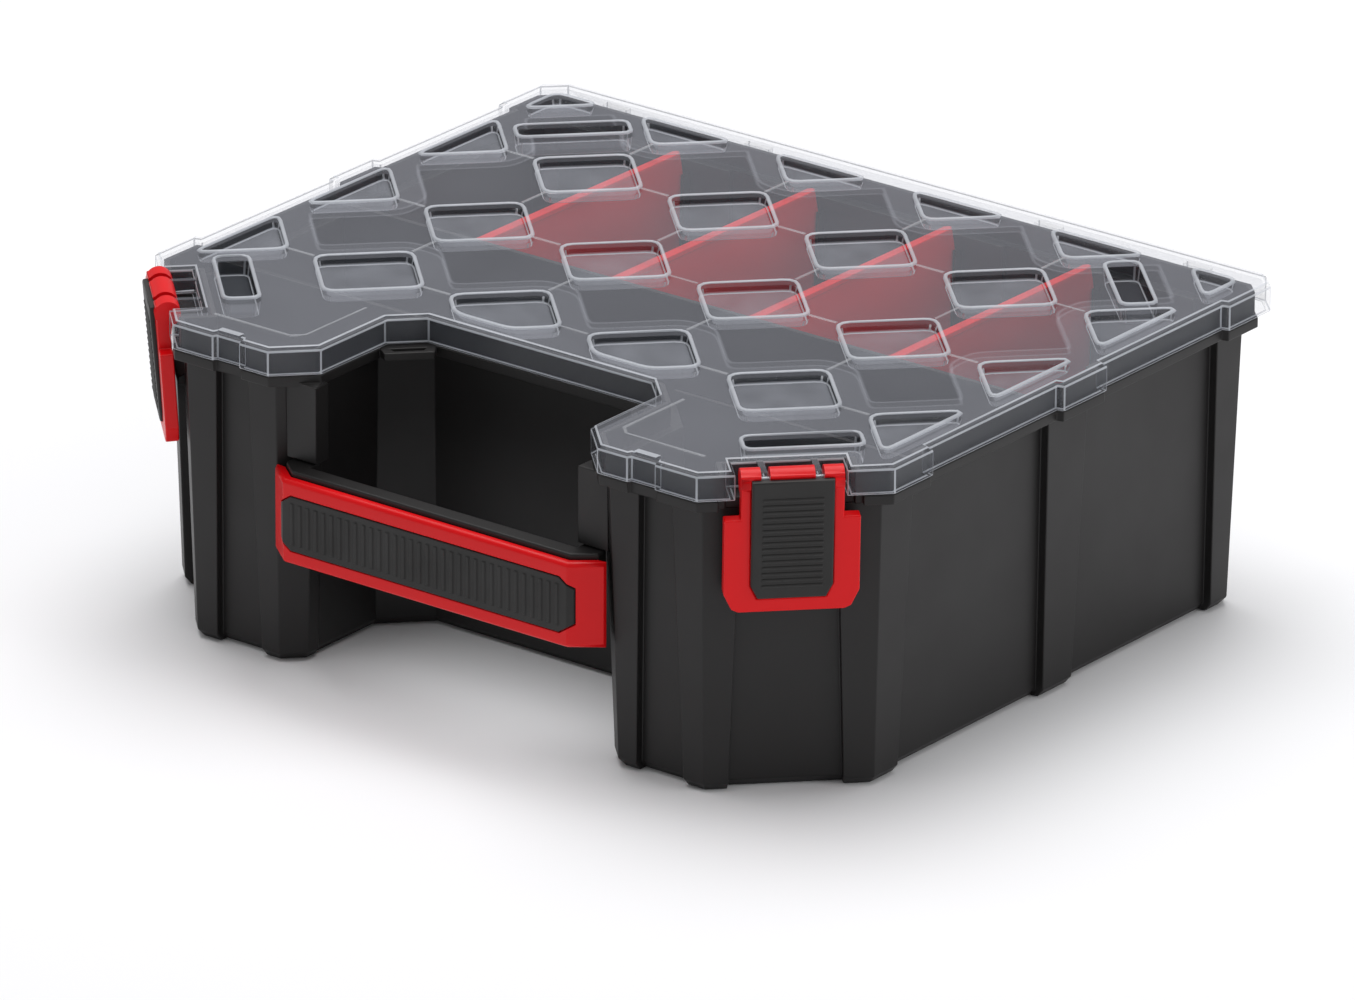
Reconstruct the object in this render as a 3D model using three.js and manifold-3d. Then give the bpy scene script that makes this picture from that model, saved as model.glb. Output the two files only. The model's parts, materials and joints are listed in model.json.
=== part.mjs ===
// Parts organizer: a compartment case with a notched front, a clear hinged lid, two pivoting
// latches, a two-tone carrying handle and lift-out dividers. Millimetres, +X right, +Y back, +Z up.
import * as THREE from "three";
import { mergeVertices } from "three/addons/utils/BufferGeometryUtils.js";
import Module from "manifold-3d";

const wasm = await Module();
wasm.setup();

// ---------------------------------------------------------------- driving sizes
const halfWidth = 173.3; // side of the lid skirt, between its proud sections
const proud = 2.7; // how far the skirt's proud sections stand out
const frontY = -143.2; // front of the lid skirt
const backY = 152.6; // back of the lid skirt
const backCorner = 7.8; // 45 degree corner at the back
const latchCorner = 49.1; // leg of the 45 degree corner that carries a latch
const lidTop = 130.4; // top of the lid

const notchHalf = 63.9; // half width of the handle notch at the lid
const notchBackY = -79; // back edge of the notch at the lid
const notchCorner = 10.6; // 45 degree corner inside the notch
const cheekCorner = 14.2; // 45 degree corner where the notch meets the front

const lidPlate = 2.2; // lid plate thickness
const lidSkirt = 2.0; // lid skirt thickness
const lidBevel = 1.6; // bevel round the top edge
const skirtBottom = lidTop - 11.4; // lower edge of the skirt
const skirtSink = 1.6; // set-back between the two front skirt panels
const step = 0.8; // run of a step between a proud face and a sunk one
const rampFront = 23.4; // length of the proud skirt behind the latch corner
const rampMid = [13.2, 40]; // proud skirt over the middle side pillar
const rampBack = 34.4; // length of the proud skirt at the back corner

const padHalf = 25.6; // half diagonal of a recessed pad
const padPitchX = 66; // pad lattice, across
const padPitchY = 67.1; // pad lattice, front to back
const padRow = notchBackY + 21.5; // first pad row
const padDepth = 3.0;
const padWall = 1.6; // thickness under and round a pad
const padCorner = 4.5;
const padSide = halfWidth - 9.9; // pads stop here at the sides
const padBack = backY - 13.6; // and here at the back
const padFront = notchBackY + 8.8; // and here at the notch
const slotLength = 43;
const slotWidth = 12;
const slotDepth = 6.4;
const slotCorner = 3;
const rimHigh = 0.6; // raised rim round each pad
const rimWide = 1.7;
const ribHigh = 0.35; // fine ribs that join the pads
const ribWide = 1.1;
const skin = 0.5; // how far a raised detail is rooted in its plate

const wall = 2.4; // case wall
const floorT = 2.5; // case floor
const draft = 3.4; // how far a wall leans out from floor to flange
const sideBase = halfWidth - 7.4; // outside of the side pillars at the floor
const frontBase = frontY + 9.3; // outside of the front pillars at the floor
const backBase = backY - 14.2; // outside of the back pillars at the floor
const notchBase = notchHalf + 9.4; // cheek of the notch at the floor
const notchBackBase = notchBackY + 11; // back wall of the notch at the floor
const cornerBase = halfWidth - latchCorner - 3.2; // front end of the latch corner at the floor
const frontPillar = 16.2; // width of the pillar beside the notch
const cornerPillar = 9.5; // width of the pillar beside the latch corner
const cheekStep = 1.2; // the cheek's front edge stands proud by this
const sidePillar = 14.5; // width of the pillar behind the latch corner
const midPillar = [16, 34]; // middle side pillar
const backPillar = 14.9; // width of the pillar at the back corner
const spine = [56, 76]; // pillars on the back wall
const fieldDepth = 3.5; // how far the panels sit behind the pillars
const backField = 1.6;
const footBevel = 2.6;
const footHeight = 3.2;
const flangeTop = skirtBottom - 0.5;
const flangeLow = flangeTop - 4;
const flangeInset = 0.6; // flange edge behind the skirt face
const rimGap = 3.3; // from the skirt face to the outside of the rim
const hingePinR = 1.1;
const hingeR = hingePinR + 1.4; // outside of the hinge barrels
const hingeSkirtGap = 0.2; // between the barrels and the back skirt
const hingeRimGap = 0.4; // between the barrels and the rim
const hingeY = backY - lidSkirt - hingeSkirtGap - hingeR;
const rimBackY = hingeY - hingeR - hingeRimGap; // outside of the rim at the back
const rimWall = 2.0;
const lidRest = 0.4; // gap between the rim and the lid plate
const partitionT = 2.2;
const partitionTop = lidTop - 6.9;
const partitionBackY = 6.9; // front face of the full-width partition
const pocketWallY = notchBackBase - 1.2; // front face of the corner pocket partitions

const latchPivotOut = Math.SQRT1_2 * (halfWidth - latchCorner - frontY) + 0.32; // from the centre
const latchAlong = Math.SQRT1_2 * (halfWidth + proud + frontY) - 1.6; // latch centre along the corner
const latchPivotZ = lidTop - 3.6;
const latchBarrel = 5.0;
const latchTilt = 3.4; // degrees the plate leans
const latchPlate = 5.2; // plate thickness
const latchFace = 4.5; // plate face ahead of the pivot
const latchNarrow = 19.1; // half width between the lid's cheeks
const latchWide = latchNarrow + 6.1; // half width below the flange
const latchShoulder = -13.8; // top of the wide part below the pivot
const latchDrop = 51.2; // pivot to the lower end
const latchChamfer = 5.5;
const latchSlotOut = latchPivotOut - 12.8; // back of the lid cut-out, from the centre
const latchSlotHalf = latchNarrow + 1.5;
const hookHalf = 12; // half width of the hook and of the catch under it
const gripHalf = latchNarrow - 3.9;
const gripTop = 1.9;
const gripBottom = 5.6 - latchDrop;
const gripOut = 7.3;
const gripSeat = 0.5; // how deep the grip sits in the plate
const gripRib = 0.7;
const gripRibs = 15;
const prongAt = 10;
const prongWidth = 2.6;
const prongR = 3.3;
const pinR = 1.5;
const runGap = 0.06; // radial clearance on a pin
const sideGap = 0.4; // side clearance between hinge leaves
const joinGap = 0.3; // gap between touching pieces

const hingeZ = skirtBottom + 0.6;
const hingeKnuckle = 12;
const hingeLug = 5;
const hingeOuter = halfWidth - 33.3; // hinge stations from the centre
const hingeInner = hingeOuter / 2;

const handleFront = frontY - 4.6;
const handleEnd = notchBase + 4.9; // half length overall
const handleFlat = handleEnd - 10.7; // half length of the straight front
const handleEndY = handleFront + 8.6;
const handleLow = 48.2;
const handleHigh = 82.2;
const barTop = handleHigh + 2.1; // the bar stands above the red shell
const handleShell = 3.6;
const barBackY = handleFront + 11.2;
const gripInsetX = 8.5; // red left round the ribbed insert
const gripInsetZ = 5.8;
const insertDeep = 1.5;
const insertCornerX = 6;
const insertCornerZ = 4;
const handleRibPitch = 3.82;
const handleRibHalf = 0.8;

const dividerT = 1.8;
const dividerBead = 3.8;
const dividerTop = partitionTop - 0.5;
const dividerFoot = 5.2; // thickened front edge
const guideRib = 1.6;
const guideDepth = 4;
const bays = 5;
const bayPitch = padPitchX;

// ---------------------------------------------------------------- materials
const make = (color, roughness, metalness = 0, extra = {}) =>
  new THREE.MeshStandardMaterial({ color, roughness, metalness, ...extra });
const caseMat = () => make(0x343332, 0.55);
const redMat = () => make(0xd01c24, 0.38);
const gripMat = () => make(0x2b2a29, 0.75);
const lidMat = () => make(0xc2c5cb, 0.2, 0, { transparent: true, opacity: 0.45 });
const steelMat = () => make(0xb4b6b8, 0.3, 0.9);

// ---------------------------------------------------------------- plan outlines
const V = (x, y) => new THREE.Vector2(x, y);
const h = Math.SQRT1_2;
// A point by its distance out along a front corner's normal and its place along the corner.
const corner = (out, along) => V(h * (out + along), h * (along - out));
// Completes a right-hand outline, drawn from the notch round to the back, with its mirror image.
const both = (right) => [
  ...right,
  ...right
    .filter((p) => p.x > 1e-6)
    .reverse()
    .map((p) => V(-p.x, p.y)),
];

// Moves every edge of a counter-clockwise outline out by d, keeping sharp corners.
function grow(points, d) {
  const n = points.length;
  return points.map((p, i) => {
    const a = p.clone().sub(points[(i + n - 1) % n]).normalize();
    const b = points[(i + 1) % n].clone().sub(p).normalize();
    const na = V(a.y, -a.x);
    const nb = V(b.y, -b.x);
    const k = d / (1 + na.dot(nb));
    return p.clone().add(na.add(nb).multiplyScalar(k));
  });
}

// Rounds each corner of an outline with a few short edges.
function rounded(points, r, steps = 3) {
  const out = [];
  const n = points.length;
  points.forEach((p, i) => {
    const a = points[(i + n - 1) % n].clone().sub(p);
    const b = points[(i + 1) % n].clone().sub(p);
    const cut = Math.min(r, a.length() * 0.45, b.length() * 0.45);
    const s = p.clone().add(a.setLength(cut));
    const e = p.clone().add(b.setLength(cut));
    for (let k = 0; k <= steps; k++) {
      const t = k / steps;
      out.push(
        V(
          (1 - t) ** 2 * s.x + 2 * t * (1 - t) * p.x + t * t * e.x,
          (1 - t) ** 2 * s.y + 2 * t * (1 - t) * p.y + t * t * e.y,
        ),
      );
    }
  });
  return out;
}

// Keeps the part of a convex outline where inside(point) is positive.
function clip(points, inside) {
  const out = [];
  points.forEach((p, i) => {
    const q = points[(i + 1) % points.length];
    const a = inside(p);
    const b = inside(q);
    if (a >= 0) out.push(p);
    if (a * b < 0) out.push(p.clone().lerp(q, a / (a - b)));
  });
  return out;
}

const diamond = (x, y, r) => [V(x - r, y), V(x, y - r), V(x + r, y), V(x, y + r)];

// Lid outline at the skirt. The latch cut-outs are left out when withSlots is false.
function lidPlan(withSlots, back = backY) {
  const panelA = notchHalf + cheekCorner + 13.9;
  const panelB = panelA + 12;
  const out = halfWidth + proud;
  const cornerX = out - latchCorner - proud;
  const cornerY = frontY + out - cornerX;
  const faceOut = h * (cornerX - frontY);
  const slots = withSlots
    ? [
        corner(faceOut, latchAlong - latchSlotHalf),
        corner(latchSlotOut, latchAlong - latchSlotHalf),
        corner(latchSlotOut, latchAlong + latchSlotHalf),
        corner(faceOut, latchAlong + latchSlotHalf),
      ]
    : [];
  return both([
    V(notchHalf - notchCorner, notchBackY),
    V(notchHalf, notchBackY - notchCorner),
    V(notchHalf, frontY + cheekCorner),
    V(notchHalf + cheekCorner, frontY),
    V(panelA, frontY),
    V(panelA + step, frontY + skirtSink),
    V(panelB, frontY + skirtSink),
    V(panelB + step, frontY),
    V(cornerX, frontY),
    ...slots,
    V(out, cornerY),
    V(out, cornerY + rampFront),
    V(halfWidth, cornerY + rampFront + step),
    V(halfWidth, rampMid[0] - step),
    V(out, rampMid[0]),
    V(out, rampMid[1]),
    V(halfWidth, rampMid[1] + step),
    V(halfWidth, backY - rampBack - step),
    V(out, backY - rampBack),
    V(out, back - backCorner),
    V(out - backCorner, back),
  ]);
}

// Case outline: pillars stand proud of flat panels all the way round. The outer faces stand out by
// lean from where they are at the floor; panels only get narrower, where the walls lean outwards.
function casePlan(lean) {
  const f = fieldDepth;
  const narrow = Math.max(lean, 0);
  const mitre = (Math.SQRT2 - 1) * lean;
  const side = sideBase + lean;
  const front = frontBase - lean;
  const back = backBase + lean;
  const notchBack = notchBackBase - lean;
  const cheek = notchBase - lean;
  const cheekIn = cheek + cheekStep;
  const cheekTurn = frontBase + 14.9 - mitre;
  const cornerOut = h * (cornerBase - frontBase) + lean;
  const cornerFront = cornerBase + mitre;
  const cornerEnd = front + side - cornerFront;
  const recessHalf = latchSlotHalf + 0.9 - narrow;
  const panelEdges = [frontPillar + notchBase + narrow, cornerBase - cornerPillar - narrow];
  const sideEdge = frontBase + sideBase - cornerBase + sidePillar + narrow;
  const spineEdges = [spine[0] - narrow, spine[1] + narrow];
  return both([
    V(cheek - 15.3 + mitre, notchBack),
    V(cheekIn, notchBack - 16.5 + mitre),
    V(cheekIn, cheekTurn),
    V(cheek, cheekTurn - cheekStep),
    V(cheek, front + 7.9 + mitre),
    V(cheek + 7.9 + mitre, front),
    V(panelEdges[0], front),
    V(panelEdges[0], front + f),
    V(panelEdges[1], front + f),
    V(panelEdges[1], front),
    V(cornerFront, front),
    corner(cornerOut, latchAlong - recessHalf),
    corner(cornerOut - f, latchAlong - recessHalf),
    corner(cornerOut - f, latchAlong + recessHalf),
    corner(cornerOut, latchAlong + recessHalf),
    V(side, cornerEnd),
    V(side, sideEdge),
    V(side - f, sideEdge),
    V(side - f, midPillar[0] - narrow),
    V(side, midPillar[0] - narrow),
    V(side, midPillar[1] + narrow),
    V(side - f, midPillar[1] + narrow),
    V(side - f, backBase - backPillar - narrow),
    V(side, backBase - backPillar - narrow),
    V(side, back - 4.4 - mitre),
    V(side - 4.4 - mitre, back),
    V(sideBase - 20 - narrow, back),
    V(sideBase - 20 - narrow, back - backField),
    V(spineEdges[1], back - backField),
    V(spineEdges[1], back),
    V(spineEdges[0], back),
    V(spineEdges[0], back - backField),
  ]);
}

// ---------------------------------------------------------------- solids
// A closed solid through a list of [outline, height] sections with matching corners.
function stack(sections) {
  const n = sections[0][0].length;
  const pos = [];
  const idx = [];
  sections.forEach(([plan, z]) => plan.forEach((p) => pos.push(p.x, p.y, z)));
  for (let s = 0; s + 1 < sections.length; s++)
    for (let i = 0; i < n; i++) {
      const a = s * n + i;
      const b = s * n + ((i + 1) % n);
      idx.push(a, b, b + n, a, b + n, a + n);
    }
  const last = (sections.length - 1) * n;
  for (const [i, j, k] of THREE.ShapeUtils.triangulateShape(sections[0][0], []))
    idx.push(k, j, i);
  for (const [i, j, k] of THREE.ShapeUtils.triangulateShape(sections.at(-1)[0], []))
    idx.push(last + i, last + j, last + k);
  const g = new THREE.BufferGeometry();
  g.setAttribute("position", new THREE.Float32BufferAttribute(pos, 3));
  g.setIndex(idx);
  return g;
}
const prism = (plan, z0, z1) => stack([[plan, z0], [plan, z1]]);
// A block between two opposite corners.
const block = (x0, x1, y0, y1, z0, z1) =>
  new THREE.BoxGeometry(x1 - x0, y1 - y0, z1 - z0).translate(
    (x0 + x1) / 2,
    (y0 + y1) / 2,
    (z0 + z1) / 2,
  );
// A round bar along X.
const barX = (r, x0, x1, y, z, sides = 24) =>
  new THREE.CylinderGeometry(r, r, x1 - x0, sides)
    .rotateZ(Math.PI / 2)
    .translate((x0 + x1) / 2, y, z);
// A side profile of [y, z] corners, as a plate between two X stations.
function plateX(profile, x0, x1) {
  const shape = new THREE.Shape(profile.map(([y, z]) => V(y, z)));
  return new THREE.ExtrudeGeometry(shape, { depth: x1 - x0, bevelEnabled: false })
    .rotateX(Math.PI / 2)
    .rotateZ(Math.PI / 2)
    .translate(x0, 0, 0);
}
// A front profile of [x, z] corners, as a plate between two Y stations.
function plateY(profile, y0, y1) {
  const shape = new THREE.Shape(profile.map(([x, z]) => V(x, z)));
  return new THREE.ExtrudeGeometry(shape, { depth: y1 - y0, bevelEnabled: false })
    .rotateX(Math.PI / 2)
    .translate(0, y1, 0);
}

function solid(geometry) {
  const bare = new THREE.BufferGeometry();
  bare.setAttribute("position", geometry.getAttribute("position").clone());
  if (geometry.index) bare.setIndex(geometry.index.clone());
  const g = mergeVertices(bare, 1e-4);
  return new wasm.Manifold(
    new wasm.Mesh({
      numProp: 3,
      vertProperties: new Float32Array(g.attributes.position.array),
      triVerts: new Uint32Array(g.index.array),
    }),
  );
}
const asSolid = (s) => (s.isBufferGeometry ? solid(s) : s);
const join = (...list) => list.flat().map(asSolid).reduce((a, b) => a.add(b));
const cut = (base, ...tools) => asSolid(base).subtract(join(...tools));
const common = (a, b) => asSolid(a).intersect(asSolid(b));

function geometryOf(made) {
  const m = made.getMesh();
  const g = new THREE.BufferGeometry();
  const p = new Float32Array((m.vertProperties.length / m.numProp) * 3);
  for (let i = 0; i < p.length / 3; i++)
    for (let k = 0; k < 3; k++) p[3 * i + k] = m.vertProperties[i * m.numProp + k];
  g.setAttribute("position", new THREE.BufferAttribute(p, 3));
  g.setIndex(new THREE.BufferAttribute(new Uint32Array(m.triVerts), 1));
  const flat = g.toNonIndexed();
  flat.computeVertexNormals();
  return flat;
}

const part = new THREE.Group();
part.name = "parts_organizer";
part.position.y = -(backY + handleFront) / 2;
// Adds a named piece to the model or to one of its groups.
function piece(name, made, material, parent = part) {
  const mesh = new THREE.Mesh(geometryOf(asSolid(made)), material);
  mesh.name = name;
  parent.add(mesh);
  return mesh;
}
const sides = [-1, 1];
const mirrored = (list) => list.flatMap((x) => [-x, x]);

// ---------------------------------------------------------------- shared outlines
const lidOuter = lidPlan(true);
const rimOuter = grow(lidPlan(true, rimBackY + rimGap), -rimGap);
const rimInner = grow(rimOuter, -rimWall);
const flangeOuter = grow(lidPlan(false, rimBackY + flangeInset), -flangeInset);
const caseBase = casePlan(0);
const caseHigh = casePlan(draft);
const leanAt = (z) => (draft * z) / flangeLow;
const plateUnder = lidTop - lidPlate;
const rimTop = plateUnder - lidRest;
// A block in front of one latch, from a distance out and over a half width.
function latchBlock(side, out, half, z0, z1) {
  const plan = [
    corner(out, latchAlong - half),
    corner(out + 40, latchAlong - half),
    corner(out + 40, latchAlong + half),
    corner(out, latchAlong + half),
  ];
  return prism(side > 0 ? plan : plan.map((p) => V(-p.x, p.y)).reverse(), z0, z1);
}

// Places a piece drawn about a latch pivot: X along the pin, Y outwards, Z up.
function atLatch(geometry, side, tilt = 0) {
  const p = corner(latchPivotOut, latchAlong);
  return geometry
    .rotateX(THREE.MathUtils.degToRad(tilt))
    .rotateZ(side * THREE.MathUtils.degToRad(-135))
    .translate(side * p.x, p.y, latchPivotZ);
}

// ---------------------------------------------------------------- case
const shell = stack([
  [casePlan(-footBevel), 0],
  [casePlan(leanAt(footHeight)), footHeight],
  [caseHigh, flangeLow],
]);
const hull = join(shell, prism(rimOuter, flangeLow, rimTop));
const roomLow = stack([
  [grow(caseBase, leanAt(floorT) - wall), floorT],
  [grow(caseHigh, -wall), flangeLow],
]);
const roomMid = common(
  prism(grow(caseHigh, -wall), flangeLow - 0.01, flangeTop),
  prism(rimInner, flangeLow - 0.01, flangeTop),
);
const roomHigh = prism(rimInner, flangeTop - 0.01, lidTop);

// Inner face of the back panel at a height, and of the side panels.
const backFace = (z) => backBase - backField - wall + leanAt(z);
const partitionBack = partitionBackY + partitionT;
const bayLines = Array.from({ length: bays - 1 }, (_, i) => (i - (bays - 2) / 2) * bayPitch);

const pocketFrom = notchBase - 17.3;
const partitions = [
  block(-halfWidth, halfWidth, partitionBackY, partitionBack, 1, partitionTop),
  ...sides.map((s) =>
    block(
      Math.min(s * pocketFrom, s * halfWidth),
      Math.max(s * pocketFrom, s * halfWidth),
      pocketWallY,
      pocketWallY + partitionT,
      1,
      partitionTop,
    ),
  ),
];
// A pair of ribs holds each divider's front foot, and a pair holds its back edge.
const guides = bayLines.flatMap((x) =>
  sides.flatMap((s) => {
    const front = dividerFoot / 2 + joinGap;
    const rear = dividerT / 2 + joinGap;
    const span = (edge) => (s > 0 ? [x + edge, x + edge + guideRib] : [x - edge - guideRib, x - edge]);
    return [
      block(...span(front), partitionBack - 0.5, partitionBack + guideDepth, 1, partitionTop - 3),
      plateX(
        [
          [backFace(0) - guideDepth, 1],
          [backBase - 1, 1],
          [backBase + leanAt(flangeLow) - 2, flangeLow - 1],
          [backFace(flangeLow) - guideDepth, flangeLow - 1],
        ],
        ...span(rear),
      ),
    ];
  }),
);
// Upper cheeks beside the handle, under the lid's notch corners.
const cheeks = sides.map((s) => {
  const x = [s * (notchHalf - 1.7), s * (notchBase + 3)].sort((a, b) => a - b);
  return block(...x, frontBase - 0.6, frontBase + 7, barTop + 0.5, flangeLow + 1);
});
// Eyelet bosses on the flange inside the notch corners.
const bossPlan = (s, inner, reach, half) => {
  const cx = notchHalf - notchCorner / 2;
  const cy = notchBackY - notchCorner / 2;
  const at = (o, a) => V(s * (cx - h * o + h * a), cy - h * o - h * a);
  const list = [at(-inner, -half), at(-inner, half), at(reach, half * 0.8), at(reach, -half * 0.8)];
  return s > 0 ? list.reverse() : list;
};
const bosses = sides.map((s) => prism(bossPlan(s, 4, 8, 12), flangeTop - 3, flangeTop));
const eyelets = sides.map((s) => prism(bossPlan(s, -3, 5.6, 7), flangeLow - 1, flangeTop + 1));
// Catch under each latch hook.
const catches = sides.map((s) =>
  atLatch(
    plateX(
      [
        [-12, -33],
        [-4.1, -31.4],
        [-4.1, -28.4],
        [-12, -24],
      ],
      -hookHalf,
      hookHalf,
    ),
    s,
  ),
);
const hingeStations = mirrored([hingeInner, hingeOuter]);
const hingeLeaf = (x0, x1, z0, z1, y0) => [
  barX(hingeR, x0, x1, hingeY, hingeZ),
  block(x0, x1, y0, hingeY, z0, z1),
];
const lugs = hingeStations.flatMap((x) =>
  sides.flatMap((s) => {
    const a = x + s * (hingeKnuckle / 2 + sideGap);
    const b = a + s * hingeLug;
    return hingeLeaf(Math.min(a, b), Math.max(a, b), hingeZ - 1.4, hingeZ + hingeR, rimBackY - 1);
  }),
);
const hingeBores = hingeStations.map((x) =>
  barX(hingePinR + runGap, x - hingeKnuckle, x + hingeKnuckle, hingeY, hingeZ),
);
const latchRoom = sides.map((s) =>
  latchBlock(s, latchPivotOut - latchBarrel - 0.4, latchWide + 1.6, flangeLow - 0.5, lidTop),
);

const shellOpen = cut(
  join(hull, cut(prism(flangeOuter, flangeLow, flangeTop), latchRoom)),
  roomLow,
  roomMid,
  roomHigh,
);
const caseBody = cut(
  join(
    shellOpen,
    common(join(partitions, guides), hull),
    cheeks,
    bosses,
    catches,
    lugs,
  ),
  eyelets,
  hingeBores,
);
piece("case_body", caseBody, caseMat());

// ---------------------------------------------------------------- lid
// The pad lattice fills the lid. A pad that crosses a border is clipped there, and one with less
// than a quarter of itself inside is left out.
const latticeWithin = (first, pitch, limit) => {
  const list = [];
  for (let at = first; at < limit + padHalf / 2; at += pitch) list.push(at);
  return list;
};
const padRows = latticeWithin(padRow, padPitchY, padBack);
const padColumns = mirrored(latticeWithin(padPitchX / 2, padPitchX, padSide)).sort((a, b) => a - b);
const pads = padRows.flatMap((y) =>
  padColumns.map((x) => {
    let plan = diamond(x, y, padHalf);
    plan = clip(plan, (p) => padSide - Math.abs(p.x));
    plan = clip(plan, (p) => padBack - p.y);
    if (Math.abs(x) < notchHalf) plan = clip(plan, (p) => p.y - padFront);
    return { plan: rounded(plan, padCorner), depth: padDepth };
  }),
);
const slotAt = [
  [halfWidth - 39.3, backY - 40.6, 1],
  [halfWidth - 38.8, frontY + 50.2, -1],
];
for (const [x, y, turn] of slotAt)
  for (const s of sides) {
    const a = [
      [-1, -1],
      [1, -1],
      [1, 1],
      [-1, 1],
    ].map(([i, j]) => V((i * slotLength) / 2, (j * slotWidth) / 2));
    const angle = (-turn * s * Math.PI) / 4;
    const plan = a.map((p) => p.rotateAround(V(0, 0), angle).add(V(s * x, y)));
    pads.push({ plan: rounded(plan, slotCorner), depth: slotDepth });
  }
const padSlope = 0.8; // how far a pad narrows towards its floor
const padFloors = pads.map(({ plan, depth }) =>
  stack([
    [grow(plan, padWall - padSlope), lidTop - depth - padWall],
    [grow(plan, padWall), plateUnder + skin],
  ]),
);
const padRims = pads.map(({ plan }) =>
  stack([
    [grow(plan, rimWide), lidTop - skin],
    [grow(plan, rimWide), lidTop + 0.1],
    [grow(plan, rimWide * 0.55), lidTop + rimHigh],
  ]),
);
const padCuts = pads.map(({ plan, depth }) =>
  stack([
    [grow(plan, -padSlope), lidTop - depth],
    [grow(plan, 0), lidTop],
    [grow(plan, 0.5), lidTop + rimHigh + 0.3],
  ]),
);
// Fine ribs run from pad to pad, across and from front to back.
const ribBlock = (x0, x1, y0, y1) => block(x0, x1, y0, y1, lidTop - skin, lidTop + ribHigh);
const padReach = padHalf + 1;
const ribHalf = ribWide / 2;
const ribs = padRows.slice(0, -1).flatMap((y) => [
  ...padColumns
    .slice(0, -1)
    .map((x, i) => ribBlock(x + padReach, padColumns[i + 1] - padReach, y - ribHalf, y + ribHalf)),
  ...padColumns
    .slice(1, -1)
    .map((x) => ribBlock(x - ribHalf, x + ribHalf, y + padReach, y + padPitchY - padReach)),
]);
// A fine rib follows the cheek and the front of each front corner.
const cornerRibs = sides.map((s) => {
  const x = notchHalf + 11;
  const y = frontY + 14.7;
  const end = halfWidth - latchCorner - 8;
  const line = (d) => [
    V(x + d, notchBackY - 9),
    V(x + d, y + 4.5 + d * 0.5),
    V(x + 4.5 + d * 0.5, y + d),
    V(end, y + d),
  ];
  const plan = [...line(0), ...line(ribWide).reverse()].map((p) => V(s * p.x, p.y));
  return prism(s > 0 ? plan : plan.reverse(), lidTop - skin, lidTop + ribHigh);
});
const lidShell = cut(
  stack([
    [lidOuter, skirtBottom],
    [lidOuter, lidTop - lidBevel],
    [grow(lidOuter, -lidBevel), lidTop],
  ]),
  prism(grow(lidOuter, -lidSkirt), skirtBottom - 1, plateUnder),
);
const armBack = latchSlotOut - latchPivotOut - 1.5;
const prongs = sides.flatMap((s) =>
  sides.flatMap((k) => {
    const x0 = k * prongAt - prongWidth / 2;
    return [
      atLatch(block(x0, x0 + prongWidth, armBack, 0, -2.6, 2.6), s),
      atLatch(barX(prongR, x0, x0 + prongWidth, 0, 0), s),
    ];
  }),
);
const prongBores = sides.map((s) => atLatch(barX(pinR + runGap, -15, 15, 0, 0), s));
const knuckles = hingeStations.flatMap((x) => [
  barX(hingeR, x - hingeKnuckle / 2, x + hingeKnuckle / 2, hingeY, hingeZ),
  block(
    x - hingeKnuckle / 2,
    x + hingeKnuckle / 2,
    hingeY - hingeR + 0.5,
    hingeY + 1,
    hingeZ,
    plateUnder + 0.5,
  ),
  block(
    x - hingeKnuckle / 2,
    x + hingeKnuckle / 2,
    hingeY,
    backY - lidSkirt + 0.5,
    hingeZ - 0.4,
    hingeZ + hingeR,
  ),
]);
const tabs = sides.map((s) => {
  const x = notchHalf + cheekCorner + 15.4;
  const span = [s * x, s * (x + 10.4)].sort((a, b) => a - b);
  return block(...span, frontY + 1.9, frontY + 5, lidTop - 1.2, lidTop + 0.7);
});
piece(
  "lid",
  cut(
    join(lidShell, padFloors, padRims, ribs, cornerRibs, prongs, knuckles, tabs),
    padCuts,
    prongBores,
    hingeBores,
  ),
  lidMat(),
);
hingeStations.forEach((x, i) =>
  piece(
    `hinge_pin_${i + 1}`,
    barX(
      hingePinR,
      x - hingeKnuckle / 2 - sideGap - hingeLug + 0.4,
      x + hingeKnuckle / 2 + sideGap + hingeLug - 0.4,
      hingeY,
      hingeZ,
    ),
    steelMat(),
  ),
);

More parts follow.
